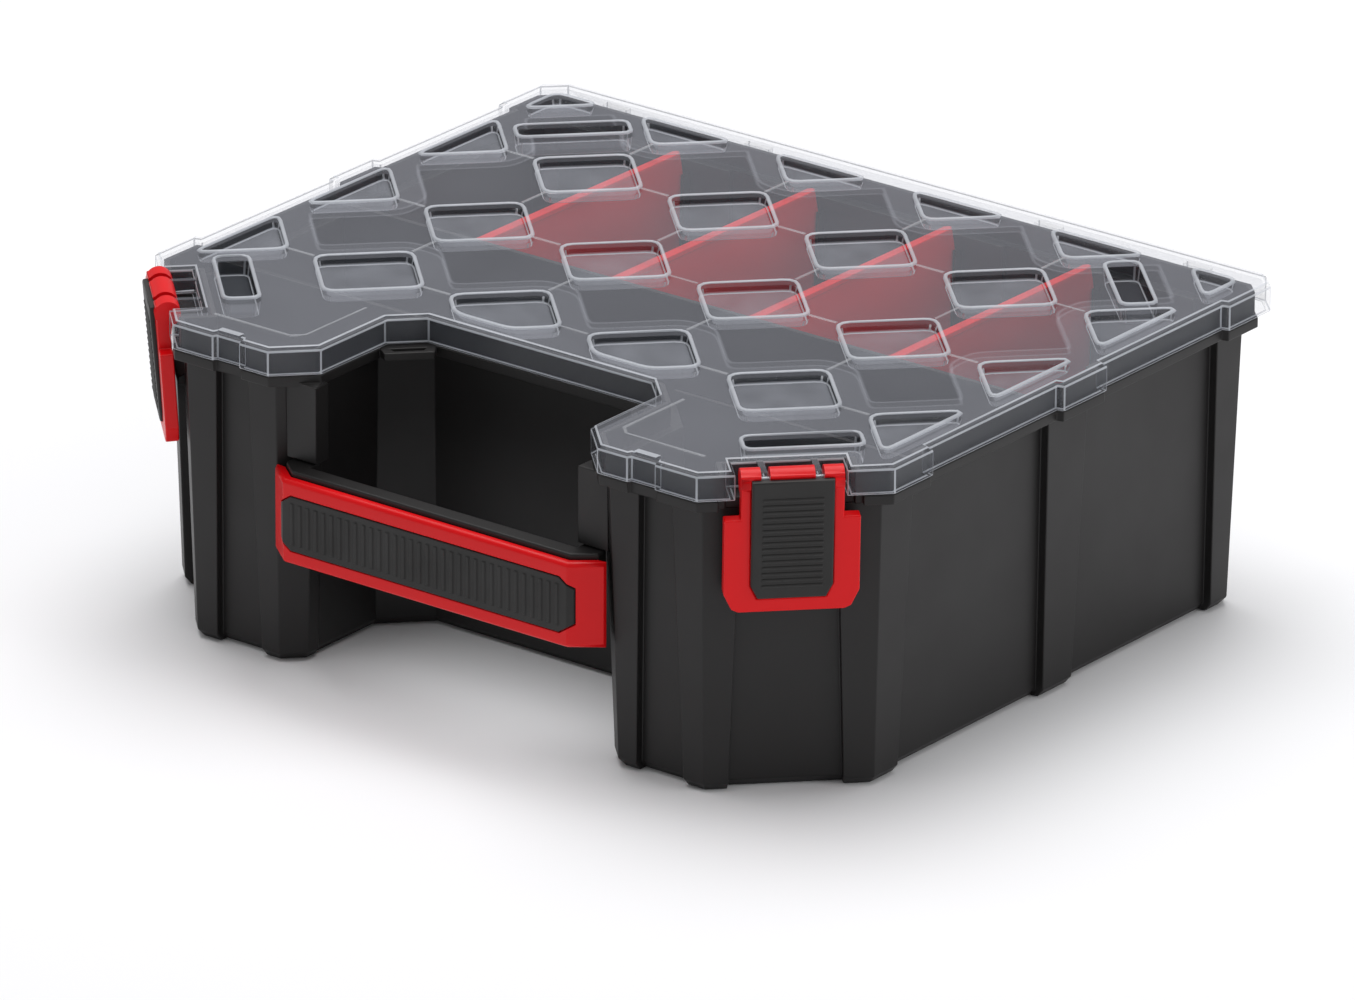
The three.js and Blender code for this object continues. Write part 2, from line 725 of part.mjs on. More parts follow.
// ---------------------------------------------------------------- latches
const plateBack = latchFace - latchPlate;
const gapHalf = prongWidth / 2 + sideGap;
const pinEnd = latchNarrow - 1.6; // half length of a latch pin
function latchFrame() {
  const c = latchChamfer;
  const outline = [
    [-latchNarrow, latchBarrel],
    [-latchNarrow, latchShoulder],
    [-latchWide, latchShoulder],
    [-latchWide, -latchDrop + c + 2],
    [-latchWide + c - 2.5, -latchDrop + 1.2],
    [-latchWide + c, -latchDrop],
    [latchWide - c, -latchDrop],
    [latchWide - c + 2.5, -latchDrop + 1.2],
    [latchWide, -latchDrop + c + 2],
    [latchWide, latchShoulder],
    [latchNarrow, latchShoulder],
    [latchNarrow, latchBarrel],
  ].reverse();
  const plate = common(
    plateY(outline, plateBack, latchFace),
    block(-40, 40, -20, 20, -latchDrop, 3.4),
  );
  const hook = plateX(
    [
      [plateBack + 0.5, -41],
      [plateBack - 0.55, -38.5],
      [plateBack - 0.55, -36.6],
      [plateBack + 0.5, -36],
    ],
    -hookHalf,
    hookHalf,
  );
  const lip = block(-latchNarrow, latchNarrow, -latchBarrel * 0.55, latchFace - 1, 0, latchBarrel);
  const barrel = barX(latchBarrel, -latchNarrow, latchNarrow, 0, 0, 32);
  const gaps = sides.flatMap((k) => [
    block(k * prongAt - gapHalf, k * prongAt + gapHalf, -9, latchFace + 1, -prongR - 0.7, 9),
  ]);
  const seat = plateY(
    gripOutline(joinGap),
    latchFace - gripSeat,
    latchFace + 3,
  );
  return cut(
    join(plate, common(lip, barrel), barrel, hook),
    gaps,
    seat,
    barX(pinR + runGap, -pinEnd - sideGap, pinEnd + sideGap, 0, 0),
  );
}
function gripOutline(g) {
  const w = gripHalf + g;
  return [
    [-w, gripTop + g],
    [-w, gripBottom + 5],
    [-w + 2.6, gripBottom - g],
    [w - 2.6, gripBottom - g],
    [w, gripBottom + 5],
    [w, gripTop + g],
  ].reverse();
}
function gripPad() {
  const low = latchFace - gripSeat + 0.05;
  const lean = 1.7;
  const pad = common(
    plateY(gripOutline(0), low, gripOut + 2),
    plateX(
      [
        [low, gripBottom - 1],
        [gripOut - lean, gripBottom - 1],
        [gripOut - lean, gripBottom + 0.8],
        [gripOut - gripRib, gripTop - 1.2],
        [gripOut - gripRib - 1.4, gripTop],
        [low, gripTop],
      ],
      -gripHalf,
      gripHalf,
    ),
  );
  const pitch = (gripTop - gripBottom - 10) / gripRibs;
  const ribs = Array.from({ length: gripRibs }, (_, i) => {
    const z = gripBottom + 4 + (i + 0.5) * pitch;
    const y = gripOut - lean + ((lean - gripRib) * (z - gripBottom)) / (gripTop - gripBottom);
    return plateX(
      [
        [y - 1, z - 0.9],
        [y + gripRib, z - 0.35],
        [y + gripRib, z + 0.35],
        [y - 1, z + 0.9],
      ],
      -gripHalf + 3.6,
      gripHalf - 3.6,
    );
  });
  return join(pad, ribs);
}
for (const [side, name] of [
  [-1, "left"],
  [1, "right"],
]) {
  const p = corner(latchPivotOut, latchAlong);
  const hub = new THREE.Group();
  hub.name = `latch_${name}`;
  hub.position.set(side * p.x, p.y, latchPivotZ);
  hub.rotation.z = side * THREE.MathUtils.degToRad(-135);
  const lean = new THREE.Group();
  lean.rotation.x = THREE.MathUtils.degToRad(-latchTilt);
  hub.add(lean);
  part.add(hub);
  piece(`latch_frame_${name}`, latchFrame(), redMat(), lean);
  piece(`latch_grip_${name}`, gripPad(), gripMat(), lean);
  piece(
    `latch_pin_${name}`,
    barX(pinR, -pinEnd, pinEnd, 0, 0),
    steelMat(),
    lean,
  );
}

// ---------------------------------------------------------------- handle
// Plan of the handle's bowed front, moved in by inset and closed at a back line.
const bowPlan = (inset, back) =>
  grow(
    [
      V(-handleEnd, handleEndY),
      V(-handleFlat, handleFront),
      V(handleFlat, handleFront),
      V(handleEnd, handleEndY),
      V(handleEnd, back + inset),
      V(-handleEnd, back + inset),
    ],
    -inset,
  );
const bow = (inset, back, z0, z1) => prism(bowPlan(inset, back), z0, z1);
const insertX = handleEnd - gripInsetX;
const insertOutline = (g) => {
  const x = insertX + g;
  const z0 = handleLow + gripInsetZ - g;
  const z1 = handleHigh - gripInsetZ - 0.6 + g;
  const cx = insertCornerX;
  const cz = insertCornerZ;
  return [
    [-x, z0 + cz],
    [-x + cx, z0],
    [x - cx, z0],
    [x, z0 + cz],
    [x, z1 - cz],
    [x - cx, z1],
    [-x + cx, z1],
    [-x, z1 - cz],
  ];
};
// A skin of the bowed front between two insets, inside the insert's outline.
const insertSkin = (outer, inner, g) =>
  common(
    plateY(insertOutline(g), handleFront - 5, handleEndY + 2),
    cut(
      bow(outer, handleEndY + 4, handleLow - 1, handleHigh + 1),
      bow(inner, handleEndY + 9, handleLow - 2, handleHigh + 2),
    ),
  );
piece(
  "handle_shell",
  cut(
    bow(0, handleEndY + 1.6, handleLow, handleHigh),
    bow(handleShell, 0, handleLow - 1, handleHigh + 1),
    insertSkin(-3, insertDeep + joinGap, joinGap),
  ),
  redMat(),
);
piece(
  "handle_bar",
  cut(
    bow(handleShell + joinGap, frontBase + 5, handleLow + 1.2, barTop),
    prism(grow(caseHigh, joinGap), handleLow, barTop + 1),
    block(-handleFlat + 4, handleFlat - 4, barBackY, 0, handleLow, barTop + 1),
  ),
  caseMat(),
);
const handleRibs = Math.floor((2 * (insertX - insertCornerX)) / handleRibPitch) + 1;
const handleRibBars = Array.from({ length: handleRibs }, (_, i) => {
  const x = (i - (handleRibs - 1) / 2) * handleRibPitch;
  return block(
    x - handleRibHalf,
    x + handleRibHalf,
    handleFront - 0.6,
    handleFront + 0.5,
    handleLow + gripInsetZ + 2.8,
    handleHigh - gripInsetZ - 3.2,
  );
});
piece(
  "handle_grip",
  join(
    insertSkin(-0.2, insertDeep, 0),
    handleRibBars,
  ),
  gripMat(),
);

// ---------------------------------------------------------------- dividers
const dividerLow = floorT + 0.5;
const dividerFront = partitionBack + joinGap;
bayLines.forEach((x, i) => {
  const back = (z) => backFace(z) - joinGap;
  const plate = plateX(
    [
      [dividerFront, dividerLow],
      [back(dividerLow), dividerLow],
      [back(dividerTop - 16), dividerTop - 16],
      [back(dividerTop) - 4, dividerTop],
      [dividerFront, dividerTop],
    ],
    x - dividerT / 2,
    x + dividerT / 2,
  );
  const foot = block(
    x - dividerFoot / 2,
    x + dividerFoot / 2,
    dividerFront,
    dividerFront + 3,
    dividerLow,
    dividerTop,
  );
  const bead = block(
    x - dividerBead / 2,
    x + dividerBead / 2,
    dividerFront,
    back(dividerTop) - guideDepth - 1.5,
    dividerTop - 2,
    dividerTop,
  );
  piece(`divider_${i + 1}`, join(plate, foot, bead), redMat());
});

export default part;
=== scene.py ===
"""Parts organizer, dressed: a black compartment case under a clear lid, with red latches and a red handle.

Each sub-assembly is a class. It copies its CAD nodes, breaks their edges as a mould would, adds the
details that only the eye needs, and gives every surface its finish. Lengths are in metres in the
meshes; sizes in the classes are in millimetres.
"""

import json
import logging
import math
from dataclasses import dataclass, field
from enum import Enum
from typing import Any, Callable, Iterable, Optional

import bmesh
import bpy
from mathutils import Matrix, Vector


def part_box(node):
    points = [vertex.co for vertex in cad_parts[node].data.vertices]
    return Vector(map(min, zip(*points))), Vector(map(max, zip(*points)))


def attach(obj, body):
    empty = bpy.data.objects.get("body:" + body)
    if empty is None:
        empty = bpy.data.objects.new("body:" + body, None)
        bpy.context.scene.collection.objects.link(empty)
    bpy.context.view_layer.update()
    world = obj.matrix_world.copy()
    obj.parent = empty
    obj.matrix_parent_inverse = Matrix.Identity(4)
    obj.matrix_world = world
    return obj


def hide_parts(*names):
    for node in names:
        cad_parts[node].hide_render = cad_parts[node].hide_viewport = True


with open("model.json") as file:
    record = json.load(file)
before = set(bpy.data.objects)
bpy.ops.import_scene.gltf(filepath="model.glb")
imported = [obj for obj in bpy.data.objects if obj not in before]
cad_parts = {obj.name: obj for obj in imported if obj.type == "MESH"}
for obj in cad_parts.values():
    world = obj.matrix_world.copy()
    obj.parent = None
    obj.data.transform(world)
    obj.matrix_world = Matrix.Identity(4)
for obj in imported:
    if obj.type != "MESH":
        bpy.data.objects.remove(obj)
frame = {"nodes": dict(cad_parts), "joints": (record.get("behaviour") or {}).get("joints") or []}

MM = 0.001
SHARP = 50  # faces that meet at more than this keep a sharp edge, in degrees
LEVEL = 0.98  # upward share of a level face's normal
LOG = logging.getLogger("organizer")


# ---------------------------------------------------------------- small helpers
def linear(colour: str) -> tuple[float, float, float, float]:
    """Turns an sRGB hex colour into linear values.

    Args:
        colour: Six hex digits after a hash.

    Returns:
        Red, green, blue and a full alpha.
    """
    parts = [int(colour[i : i + 2], 16) / 255 for i in (1, 3, 5)]
    low = [p / 12.92 if p <= 0.04045 else ((p + 0.055) / 1.055) ** 2.4 for p in parts]
    return (low[0], low[1], low[2], 1.0)


def add_node(
    tree: bpy.types.NodeTree,
    kind: str,
    settings: Optional[dict[str, Any]] = None,
    inputs: Optional[dict[Any, Any]] = None,
) -> bpy.types.Node:
    """Adds a shader node.

    Args:
        tree: The material's node tree.
        kind: The node's type name.
        settings: Properties of the node.
        inputs: Input sockets, by name or number, with a fixed value or the socket that feeds each.

    Returns:
        The new node.
    """
    node = tree.nodes.new(kind)
    for key, value in (settings or {}).items():
        setattr(node, key, value)
    for key, value in (inputs or {}).items():
        if isinstance(value, bpy.types.NodeSocket):
            tree.links.new(value, node.inputs[key])
        else:
            node.inputs[key].default_value = value
    return node


def fresh_material(name: str) -> tuple[bpy.types.Material, bpy.types.NodeSocket]:
    """Makes an empty node material.

    Args:
        name: Its name.

    Returns:
        The material and the socket of its Object coordinates, in metres.
    """
    material = bpy.data.materials.new(name)
    material.use_nodes = True
    material.node_tree.nodes.clear()
    return material, add_node(material.node_tree, "ShaderNodeTexCoord").outputs["Object"]


# ---------------------------------------------------------------- finishes
@dataclass(frozen=True)
class Grain:
    """A moulded-in surface grain.

    Attributes:
        size: Width of one grain, in millimetres.
        depth: Height of the grain, in millimetres.
        mottle: Width of the slow patches where the gloss wanders, in millimetres.
        swing: How far the roughness wanders either way.
    """

    size: float
    depth: float
    mottle: float
    swing: float


@dataclass(frozen=True)
class Plastic:
    """An opaque moulded plastic.

    Attributes:
        name: The material's name.
        colour: Body colour.
        shade: Colour of the slow patches.
        roughness: Middle of its roughness.
        ior: Index of refraction.
        grain: Its surface grain.
        sheen: Soft edge light of a rubbery surface, from 0 to 1.
    """

    name: str
    colour: str
    shade: str
    roughness: float
    ior: float
    grain: Grain
    sheen: float = 0.0

    def build(self) -> bpy.types.Material:
        """Makes the material, with its patches, gloss and grain in real millimetres."""
        material, place = fresh_material(self.name)
        tree = material.node_tree
        patches = add_node(
            tree,
            "ShaderNodeTexNoise",
            inputs={
                "Vector": place,
                "Scale": 1 / (self.grain.mottle * MM),
                "Detail": 3.0,
                "Roughness": 0.6,
            },
        ).outputs["Fac"]
        grit = add_node(
            tree,
            "ShaderNodeTexNoise",
            inputs={"Vector": place, "Scale": 1 / (self.grain.size * MM), "Detail": 2.0},
        ).outputs["Fac"]
        body = add_node(
            tree,
            "ShaderNodeMix",
            {"data_type": "RGBA"},
            {0: patches, 6: linear(self.shade), 7: linear(self.colour)},
        ).outputs[2]
        gloss = add_node(
            tree,
            "ShaderNodeMapRange",
            inputs={
                "Value": patches,
                "From Min": 0.3,
                "From Max": 0.7,
                "To Min": self.roughness - self.grain.swing,
                "To Max": self.roughness + self.grain.swing,
            },
        ).outputs["Result"]
        relief = add_node(
            tree,
            "ShaderNodeBump",
            inputs={"Height": grit, "Strength": 1.0, "Distance": self.grain.depth * MM},
        ).outputs["Normal"]
        surface = add_node(
            tree,
            "ShaderNodeBsdfPrincipled",
            inputs={
                "Base Color": body,
                "Roughness": gloss,
                "Normal": relief,
                "IOR": self.ior,
                "Sheen Weight": self.sheen,
                "Sheen Roughness": 0.5,
            },
        )
        add_node(tree, "ShaderNodeOutputMaterial", inputs={"Surface": surface.outputs["BSDF"]})
        return material


@dataclass(frozen=True)
class Window:
    """The clear middle of the lid, inside a frosted border that steps round the outer pads.

    Attributes:
        half: Half its width, in millimetres.
        front: Its front edge, in the frame.
        back: Its back edge, in the frame.
        pitch: Spacing of the pads across and from front to back.
        rows: Centres of the first and the last row of pads, in the frame.
        column: Centre of the outer columns of pads.
        reach: How far the border runs from a pad's centre, across its corners and its sides.
        bend: Rounding of the border's turns.
        line: Width of the fine step along it.
        glow: How much more the fine step covers: a painted highlight that shows the step as a pale line.
    """

    half: float = 157.0
    front: float = -50.4
    back: float = 133.6
    pitch: tuple[float, float] = (66.0, 67.1)
    rows: tuple[float, float] = (-59.9, 141.4)
    column: float = 165.0
    reach: tuple[float, float] = (42.0, 34.5)
    bend: float = 6.0
    line: float = 0.8
    glow: float = 0.09

    def distance(
        self, tree: bpy.types.NodeTree, place: bpy.types.NodeSocket
    ) -> bpy.types.NodeSocket:
        """Distance to the window's edge, in millimetres, below zero inside it.

        Args:
            tree: The material's node tree.
            place: Object coordinates, in metres.

        Returns:
            The socket that carries the distance.
        """
        kind = "ShaderNodeMath"
        scaled = add_node(
            tree, "ShaderNodeVectorMath", {"operation": "SCALE"}, {0: place, "Scale": 1 / MM}
        ).outputs[0]
        axes = add_node(tree, "ShaderNodeSeparateXYZ", inputs={0: scaled}).outputs
        across = add_node(tree, kind, {"operation": "ABSOLUTE"}, {0: axes["X"]}).outputs[0]
        along = axes["Y"]
        half_x, half_y = self.pitch[0] / 2, self.pitch[1] / 2

        fold_x = add_node(tree, kind, {"operation": "PINGPONG"}, {0: across, 1: half_x}).outputs[0]
        to_column = add_node(tree, kind, {"operation": "SUBTRACT"}, {0: half_x, 1: fold_x}).outputs[0]
        shifted = add_node(
            tree, kind, {"operation": "SUBTRACT"}, {0: along, 1: self.rows[0] - half_y}
        ).outputs[0]
        fold_y = add_node(tree, kind, {"operation": "PINGPONG"}, {0: shifted, 1: half_y}).outputs[0]
        to_row = add_node(tree, kind, {"operation": "SUBTRACT"}, {0: half_y, 1: fold_y}).outputs[0]

        pads = []
        for value, other, line in (
            (along, to_column, self.rows[0]),
            (along, to_column, self.rows[1]),
            (across, to_row, self.column),
        ):
            offset = add_node(tree, kind, {"operation": "SUBTRACT"}, {0: value, 1: line}).outputs[0]
            away = add_node(tree, kind, {"operation": "ABSOLUTE"}, {0: offset}).outputs[0]
            total = add_node(tree, kind, {"operation": "ADD"}, {0: away, 1: other}).outputs[0]
            slanted = add_node(
                tree, kind, {"operation": "SUBTRACT"}, {0: total, 1: self.reach[0]}
            ).outputs[0]
            slope = add_node(
                tree, kind, {"operation": "MULTIPLY"}, {0: slanted, 1: math.sqrt(0.5)}
            ).outputs[0]
            larger = add_node(tree, kind, {"operation": "MAXIMUM"}, {0: away, 1: other}).outputs[0]
            square = add_node(
                tree, kind, {"operation": "SUBTRACT"}, {0: larger, 1: self.reach[1]}
            ).outputs[0]
            pads.append(
                add_node(
                    tree,
                    kind,
                    {"operation": "SMOOTH_MAX"},
                    {0: slope, 1: square, 2: self.bend},
                ).outputs[0]
            )
        near = pads[0]
        for other in pads[1:]:
            near = add_node(
                tree, kind, {"operation": "SMOOTH_MIN"}, {0: near, 1: other, 2: self.bend}
            ).outputs[0]

        edges = [
            add_node(tree, kind, {"operation": "SUBTRACT"}, {0: across, 1: self.half}).outputs[0],
            add_node(tree, kind, {"operation": "SUBTRACT"}, {0: self.front, 1: along}).outputs[0],
            add_node(tree, kind, {"operation": "SUBTRACT"}, {0: along, 1: self.back}).outputs[0],
            add_node(tree, kind, {"operation": "MULTIPLY"}, {0: near, 1: -1.0}).outputs[0],
        ]
        outside = edges[0]
        for other in edges[1:]:
            outside = add_node(
                tree, kind, {"operation": "SMOOTH_MAX"}, {0: outside, 1: other, 2: self.bend}
            ).outputs[0]
        return outside


@dataclass(frozen=True)
class ClearPlastic:
    """A clear or frosted moulded plastic, seen by its thin film of scattered light.

    Attributes:
        name: The material's name.
        colour: Colour of the scattered light.
        cover: Share of what is behind one surface that it hides.
        roughness: Roughness of its gloss.
        ior: Index of refraction.
        grain: Its surface grain; swing is how far the cover wanders.
        window: Where the frosted plate turns clear, or None.
        clearer: How much less the clear middle covers.
    """

    name: str
    colour: str
    cover: float
    roughness: float
    ior: float
    grain: Grain
    window: Optional[Window] = None
    clearer: float = 0.0

    def frost_and_step_highlight(
        self,
        tree: bpy.types.NodeTree,
        place: bpy.types.NodeSocket,
        cover: bpy.types.NodeSocket,
    ) -> bpy.types.NodeSocket:
        """Takes the window's clear middle out of the cover and paints the fine step round it as a pale
        line of highlight.

        Args:
            tree: The material's node tree.
            place: Object coordinates.
            cover: The cover of the frosted plate.

        Returns:
            The socket that carries the cover.
        """
        if self.window is None:
            return cover
        kind = "ShaderNodeMapRange"
        away = self.window.distance(tree, place)
        thin = add_node(
            tree,
            kind,
            inputs={
                "Value": away,
                "From Min": -0.3,
                "From Max": 0.3,
                "To Min": -self.clearer,
                "To Max": 0.0,
            },
        ).outputs["Result"]
        near = add_node(tree, "ShaderNodeMath", {"operation": "ABSOLUTE"}, {0: away}).outputs[0]
        # Painted highlight: the cover rises along the fine step, so it reads as a pale line.
        step = add_node(
            tree,
            kind,
            inputs={
                "Value": near,
                "From Min": self.window.line / 2,
                "From Max": self.window.line,
                "To Min": self.window.glow,
                "To Max": 0.0,
            },
        ).outputs["Result"]
        total = add_node(tree, "ShaderNodeMath", {"operation": "ADD"}, {0: thin, 1: step})
        return add_node(
            tree, "ShaderNodeMath", {"operation": "ADD"}, {0: cover, 1: total.outputs[0]}
        ).outputs[0]

    def build(self) -> bpy.types.Material:
        """Makes the material, with its cover and its fine grain."""
        material, place = fresh_material(self.name)
        tree = material.node_tree
        patches = add_node(
            tree,
            "ShaderNodeTexNoise",
            inputs={"Vector": place, "Scale": 1 / (self.grain.mottle * MM), "Detail": 2.0},
        ).outputs["Fac"]
        cover = add_node(
            tree,
            "ShaderNodeMapRange",
            inputs={
                "Value": patches,
                "From Min": 0.3,
                "From Max": 0.7,
                "To Min": self.cover - self.grain.swing,
                "To Max": self.cover + self.grain.swing,
            },
        ).outputs["Result"]
        grit = add_node(
            tree,
            "ShaderNodeTexNoise",
            inputs={"Vector": place, "Scale": 1 / (self.grain.size * MM), "Detail": 2.0},
        ).outputs["Fac"]
        relief = add_node(
            tree,
            "ShaderNodeBump",
            inputs={"Height": grit, "Strength": 1.0, "Distance": self.grain.depth * MM},
        ).outputs["Normal"]
        surface = add_node(
            tree,
            "ShaderNodeBsdfPrincipled",
            inputs={
                "Base Color": linear(self.colour),
                "Roughness": self.roughness,
                "IOR": self.ior,
                "Alpha": self.frost_and_step_highlight(tree, place, cover),
                "Normal": relief,
            },
        )
        add_node(tree, "ShaderNodeOutputMaterial", inputs={"Surface": surface.outputs["BSDF"]})
        return material


@dataclass(frozen=True)
class Steel:
    """Drawn steel wire, lightly scored along its length.

    Attributes:
        name: The material's name.
        colour: Its tint.
        roughness: Middle of its roughness.
        score: Spacing of the drawing marks, in millimetres.
        swing: How far the marks take the roughness down and up.
    """

    name: str
    colour: str
    roughness: float
    score: float
    swing: tuple[float, float] = (0.1, 0.15)

    def build(self) -> bpy.types.Material:
        """Makes the material, with its scores as a change of gloss."""
        material, place = fresh_material(self.name)
        tree = material.node_tree
        marks = add_node(
            tree,
            "ShaderNodeTexNoise",
            inputs={"Vector": place, "Scale": 1 / (self.score * MM), "Detail": 4.0},
        ).outputs["Fac"]
        gloss = add_node(
            tree,
            "ShaderNodeMapRange",
            inputs={
                "Value": marks,
                "To Min": self.roughness - self.swing[0],
                "To Max": self.roughness + self.swing[1],
            },
        ).outputs["Result"]
        surface = add_node(
            tree,
            "ShaderNodeBsdfPrincipled",
            inputs={"Base Color": linear(self.colour), "Metallic": 1.0, "Roughness": gloss},
        )
        add_node(tree, "ShaderNodeOutputMaterial", inputs={"Surface": surface.outputs["BSDF"]})
        return material


class Finish(Enum):
    """The finishes of the organizer's surfaces."""

    # Injection-moulded polypropylene with a fine spark-eroded mould texture: a dark, satin skin.
    # Its index is below the solid plastic's, for the light that the texture traps.
    CASE = Plastic(
        "polypropylene_black_satin", "#201E1E", "#1B1A1A", 0.46, 1.4, Grain(0.9, 0.012, 45, 0.05)
    )
    # The same plastic from a polished mould: even, brighter red with a soft gloss.
    RED = Plastic(
        "polypropylene_red_satin", "#E4060F", "#DA050E", 0.34, 1.33, Grain(0.7, 0.006, 30, 0.04)
    )
    # Thermoplastic elastomer over-moulding: matt, slightly dusty, with a soft edge light.
    GRIP = Plastic(
        "elastomer_soft_grip", "#201F1E", "#1C1B1A", 0.62, 1.47, Grain(0.6, 0.02, 20, 0.06), 0.1
    )
    # Clear random polypropylene, frosted inside round the border and clear in the middle.
    PLATE = ClearPlastic(
        "polypropylene_clear_frosted",
        "#D9DCE8",
        0.13,
        0.2,
        1.49,
        Grain(5.0, 0.0005, 60, 0.006),
        Window(),
        0.035,
    )
    # The skirt and the pads' walls are clear and glossy: what is behind them shows.
    SKIRT = ClearPlastic(
        "polypropylene_clear_gloss", "#8A8F99", 0.11, 0.12, 1.49, Grain(5.0, 0.0005, 60, 0.004)
    )
    # The pads' floors come from a textured mould face, so they scatter a little more.
    PAD = ClearPlastic(
        "polypropylene_clear_textured", "#DCE0EC", 0.14, 0.38, 1.49, Grain(1.1, 0.03, 14, 0.02)
    )
    # Rounded rims and edges of the clear lid gather light: a painted highlight, a paler and denser film,
    # so they read as pale lines.
    RIM = ClearPlastic(
        "polypropylene_clear_painted_highlight", "#D3D7DF", 0.62, 0.24, 1.49, Grain(3.0, 0.001, 25, 0.05)
    )
    # Low ribs and fine steps gather less: a fainter painted highlight.
    RIB = ClearPlastic(
        "polypropylene_clear_rib_painted_highlight", "#F0F3FA", 0.26, 0.2, 1.49, Grain(3.0, 0.001, 25, 0.03)
    )
    # Drawn steel wire pins.
    PIN = Steel("steel_drawn_wire", "#8E9094", 0.34, 0.4)


def dress(piece: bpy.types.Object, *finishes: Finish) -> None:
    """Gives an object its finishes, one per material slot.

    Args:
        piece: The object.
        finishes: Its finishes, in the order of the faces' slot numbers.
    """
    for finish in finishes:
        made = bpy.data.materials.get(finish.value.name) or finish.value.build()
        piece.data.materials.append(made)


# ---------------------------------------------------------------- mesh helpers
@dataclass(frozen=True)
class EdgeBreak:
    """How the edges of a moulding are rounded.

    Attributes:
        width: Width of the rounding, in millimetres.
        angle: Least turn between faces that counts as an edge, in degrees.
        length: Least length of an edge that is rounded, in millimetres.
        segments: Faces across the rounding.
    """

    width: float
    angle: float = 25.0
    length: float = 1.2
    segments: int = 2


class Copy:
    """A merged copy of a CAD node's mesh, worked on as a bmesh."""

    merge = 0.004  # corners nearer than this are one, in millimetres
    flat = 0.4  # faces that turn by less than this become one, in degrees

    def __init__(self, node: str) -> None:
        """Copies the node's mesh and joins its loose triangles into flat faces.

        Args:
            node: Name of the CAD node.
        """
        self.node = node
        self.mesh = bmesh.new()
        self.mesh.from_mesh(frame["nodes"][node].data)
        bmesh.ops.remove_doubles(self.mesh, verts=self.mesh.verts, dist=self.merge * MM)
        bmesh.ops.dissolve_degenerate(self.mesh, edges=self.mesh.edges, dist=self.merge * MM)
        bmesh.ops.dissolve_limit(
            self.mesh,
            angle_limit=math.radians(self.flat),
            verts=self.mesh.verts,
            edges=self.mesh.edges,
        )
        for face in self.mesh.faces:
            face.material_index = 0

    def round_edges(
        self, rule: EdgeBreak, where: Optional[Callable[[bmesh.types.BMEdge], bool]] = None
    ) -> list[bmesh.types.BMFace]:
        """Rounds the edges that a rule and a test pick.

        Args:
            rule: Width of the rounding and which edges count.
            where: A further test of an edge, or None for all.

        Returns:
            The new faces.
        """
        chosen = [
            edge
            for edge in self.mesh.edges
            if edge.is_manifold
            and edge.calc_length() > rule.length * MM
            and edge.calc_face_angle(0.0) > math.radians(rule.angle)
            and (where is None or where(edge))
        ]
        made = bmesh.ops.bevel(
            self.mesh,
            geom=chosen,
            offset=rule.width * MM,
            offset_type="OFFSET",
            segments=rule.segments,
            profile=0.5,
            affect="EDGES",
            clamp_overlap=False,
            material=-1,
            loop_slide=True,
        )
        return made["faces"]

    def finish(self, name: str, body: str, slot: str, *finishes: Finish) -> bpy.types.Object:
        """Makes the object, puts it on its body in the CAD node's place and dresses it.

        Args:
            name: Name of the piece.
            body: Body that it rides.
            slot: The record's material slot; not used.
            finishes: Its finishes, one per material slot.

        Returns:
            The piece.
        """
        return make_piece(self.mesh, name, body, finishes, [self.node])


def make_piece(
    mesh: bmesh.types.BMesh,
    name: str,
    body: str,
    finishes: Iterable[Finish],
    stands_for: Iterable[str] = (),
) -> bpy.types.Object:
    """Turns a bmesh into a dressed piece that rides a body.

    Args:
        mesh: The shape, in metres, in its place. It is freed.
        name: Name of the piece.
        body: Body that it rides.
        finishes: Its finishes, one per material slot.
        stands_for: CAD nodes that it hides.

    Returns:
        The piece.
    """
    data = bpy.data.meshes.new(name)
    mesh.to_mesh(data)
    mesh.free()
    data.shade_smooth()
    data.set_sharp_from_angle(angle=math.radians(SHARP))
    piece = bpy.data.objects.new(name, data)
    bpy.context.scene.collection.objects.link(piece)
    dress(piece, *finishes)
    smooth = piece.modifiers.new("even_normals", "WEIGHTED_NORMAL")
    smooth.keep_sharp = True
    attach(piece, body)
    nodes = list(stands_for)
    if nodes:
        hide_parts(*nodes)
    LOG.info("%s: %d faces on %s", name, len(data.polygons), body)
    return piece


def middle(edge: bmesh.types.BMEdge) -> Vector:
    """The middle of an edge, in millimetres."""
    return (edge.verts[0].co + edge.verts[1].co) / (2 * MM)


# ---------------------------------------------------------------- sub-assemblies
@dataclass
class Case:
    """The black compartment case, one moulding.

    Attributes:
        edge: Rounding of its long edges.
    """

    edge: EdgeBreak = field(default_factory=lambda: EdgeBreak(0.45, 25, 2.5))

    def build(self) -> None:
        """Copies the case, rounds its edges and dresses it."""
        case = Copy("case_body")
        case.round_edges(self.edge)
        case.finish("case_moulding", "case", "case_plastic", Finish.CASE)


